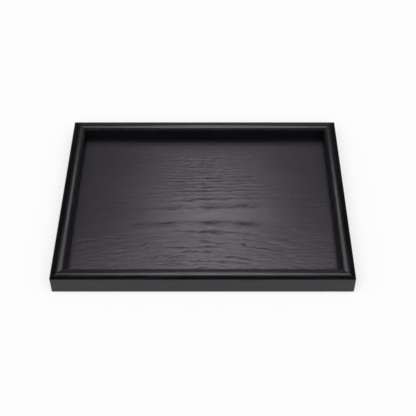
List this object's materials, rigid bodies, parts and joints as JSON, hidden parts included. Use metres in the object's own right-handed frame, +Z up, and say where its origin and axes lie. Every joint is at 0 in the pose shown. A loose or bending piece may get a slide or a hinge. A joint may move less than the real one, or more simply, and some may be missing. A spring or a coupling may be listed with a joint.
{
  "type": "tea tray",
  "caption": "Rectangular wooden tea tray with a mitred, crowned rim around a flat recessed floor, stained black under a satin lacquer.",
  "frame": {"origin": "on the table, under the middle of the tray", "axes": "+X along the tray's length, +Y towards its rear, +Z up"},
  "size_m": [0.36, 0.28, 0.025],
  "materials": {
    "rail_wood": "black stain under satin lacquer",
    "face_veneer": "open-grained veneer, black stain under satin lacquer",
    "back_veneer": "black stain, thin matt lacquer",
    "core_board": "bare board",
    "tongue_wood": "bare hardwood",
    "pin_steel": "bright steel"
  },
  "bodies": {
    "root": {"front_rail": "rail_wood", "rear_rail": "rail_wood", "left_rail": "rail_wood", "right_rail": "rail_wood", "panel_face_veneer": "face_veneer", "panel_core": "core_board", "panel_back_veneer": "back_veneer", "corner_tongue_front_left": "tongue_wood", "corner_tongue_front_right": "tongue_wood", "corner_tongue_rear_left": "tongue_wood", "corner_tongue_rear_right": "tongue_wood", "panel_pin_front_1": "pin_steel", "panel_pin_front_2": "pin_steel", "panel_pin_front_3": "pin_steel", "panel_pin_front_4": "pin_steel", "panel_pin_rear_1": "pin_steel", "panel_pin_rear_2": "pin_steel", "panel_pin_rear_3": "pin_steel", "panel_pin_rear_4": "pin_steel", "panel_pin_left_1": "pin_steel", "panel_pin_left_2": "pin_steel", "panel_pin_left_3": "pin_steel", "panel_pin_right_1": "pin_steel", "panel_pin_right_2": "pin_steel", "panel_pin_right_3": "pin_steel"}
  },
  "joints": []
}
